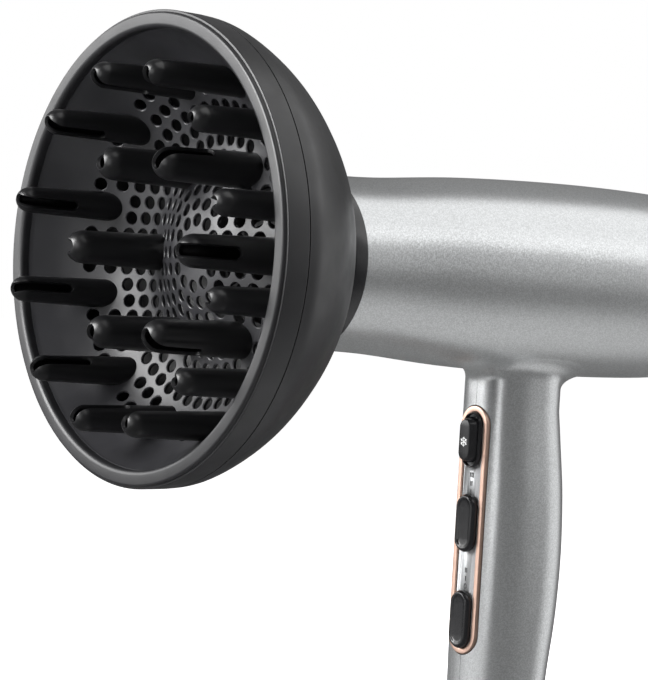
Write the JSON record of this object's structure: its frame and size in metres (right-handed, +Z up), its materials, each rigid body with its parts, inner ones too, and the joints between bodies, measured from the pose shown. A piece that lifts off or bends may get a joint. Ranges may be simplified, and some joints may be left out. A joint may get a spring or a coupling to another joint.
{
  "type": "hair dryer",
  "caption": "Pistol-grip hair dryer with a round bowl diffuser, slotted air fingers, handle control panel with two sliders and a cool-shot button, and a pull-off rear grille.",
  "frame": {"origin": "middle of the flat disc on the rear grille, on the barrel's axis", "axes": "+X along the barrel from the outlet to the rear face, +Z up with the handle hanging towards -Z, +Y to the user's right when the outlet points away"},
  "size_m": [0.298, 0.1646, 0.2623],
  "materials": {
    "silver_paint": "silver metallic paint with a fine sparkle, satin gloss",
    "panel_silver": "smooth silver paint",
    "rose_gold": "satin anodised rose gold",
    "black_gloss": "glossy black",
    "black_satin": "satin black",
    "diffuser_satin": "satin dark grey moulded plastic",
    "diffuser_plate": "fine matte dark grey moulded plastic",
    "finger_black": "glossy black moulded plastic",
    "mica": "laminated mica sheet",
    "heating_wire": "oxidised resistance wire",
    "steel": "zinc-plated steel",
    "copper": "enamelled copper winding",
    "white_plastic": "natural nylon",
    "circuit_board": "green solder mask",
    "marking_white": "white print",
    "marking_dark": "dark print"
  },
  "bodies": {
    "dryer_body": {"left_housing": "silver_paint", "right_housing": "silver_paint", "panel_insert": "panel_silver", "trim_ring": "rose_gold", "front_ring": "black_gloss", "cool_shot_bezel": "black_gloss", "outlet_nozzle": "black_satin", "outlet_grille": "black_satin", "rear_bezel": "black_satin", "cord_gland": "black_satin", "handle_end_cap": "black_satin", "fan_duct": "black_satin", "heat_switch": "black_satin", "speed_switch": "black_satin", "cool_shot_switch": "black_satin", "heat_shield": "mica", "heater_board_flat": "mica", "heater_board_upright": "mica", "heater_coil_low": "heating_wire", "heater_coil_high": "heating_wire", "thermostat": "steel", "motor_can": "steel", "housing_screw_1": "steel", "housing_screw_2": "steel", "clamp_screw": "steel", "motor_end_cap": "white_plastic", "terminal_block": "white_plastic", "cable_clamp": "white_plastic", "switch_board": "circuit_board"},
    "fan": {"impeller": "white_plastic", "motor_shaft": "steel", "motor_rotor": "copper"},
    "cool_shot": {"cool_shot_button": "black_gloss", "cool_shot_spring": "steel"},
    "heat_control": {"heat_slider": "black_gloss"},
    "speed_control": {"speed_slider": "black_gloss"},
    "rear_filter": {"rear_grille": "silver_paint", "lint_filter": "steel"},
    "diffuser_clip": {"neck_clip_ring": "black_satin"},
    "diffuser": {"diffuser_shell": "diffuser_satin", "diffuser_rim": "diffuser_satin", "diffuser_plate": "diffuser_plate", "outer_finger_1": "finger_black", "outer_finger_2": "finger_black", "outer_finger_3": "finger_black", "outer_finger_4": "finger_black", "outer_finger_5": "finger_black", "outer_finger_6": "finger_black", "outer_finger_7": "finger_black", "outer_finger_8": "finger_black", "outer_finger_9": "finger_black", "outer_finger_10": "finger_black", "outer_finger_11": "finger_black", "outer_finger_12": "finger_black", "inner_finger_1": "finger_black", "inner_finger_2": "finger_black", "inner_finger_3": "finger_black", "inner_finger_4": "finger_black", "inner_finger_5": "finger_black", "inner_finger_6": "finger_black"}
  },
  "joints": [
    {"name": "fan_spin", "type": "hinge", "parent": "dryer_body", "child": "fan", "pos_m": [-0.055, 0, 0], "axis": [1, 0, 0], "continuous": true},
    {"name": "cool_shot_press", "type": "slide", "parent": "dryer_body", "child": "cool_shot", "axis": [1, 0, 0], "range_m": [0, 0.0016], "stiffness_N_per_m": 300, "springref_m": -0.002, "deforming": ["cool_shot_spring"]},
    {"name": "heat_slide", "type": "slide", "parent": "dryer_body", "child": "heat_control", "axis": [0, 0, 1], "range_m": [0, 0.0064]},
    {"name": "speed_slide", "type": "slide", "parent": "dryer_body", "child": "speed_control", "axis": [0, 0, 1], "range_m": [0, 0.0064]},
    {"name": "filter_pull", "type": "slide", "parent": "dryer_body", "child": "rear_filter", "axis": [1, 0, 0], "range_m": [0, 0.02]},
    {"name": "diffuser_pull", "type": "slide", "parent": "dryer_body", "child": "diffuser_clip", "axis": [-1, 0, 0], "range_m": [0, 0.03]},
    {"name": "diffuser_turn", "type": "hinge", "parent": "diffuser_clip", "child": "diffuser", "pos_m": [-0.225, 0, 0], "axis": [1, 0, 0], "continuous": true}
  ]
}
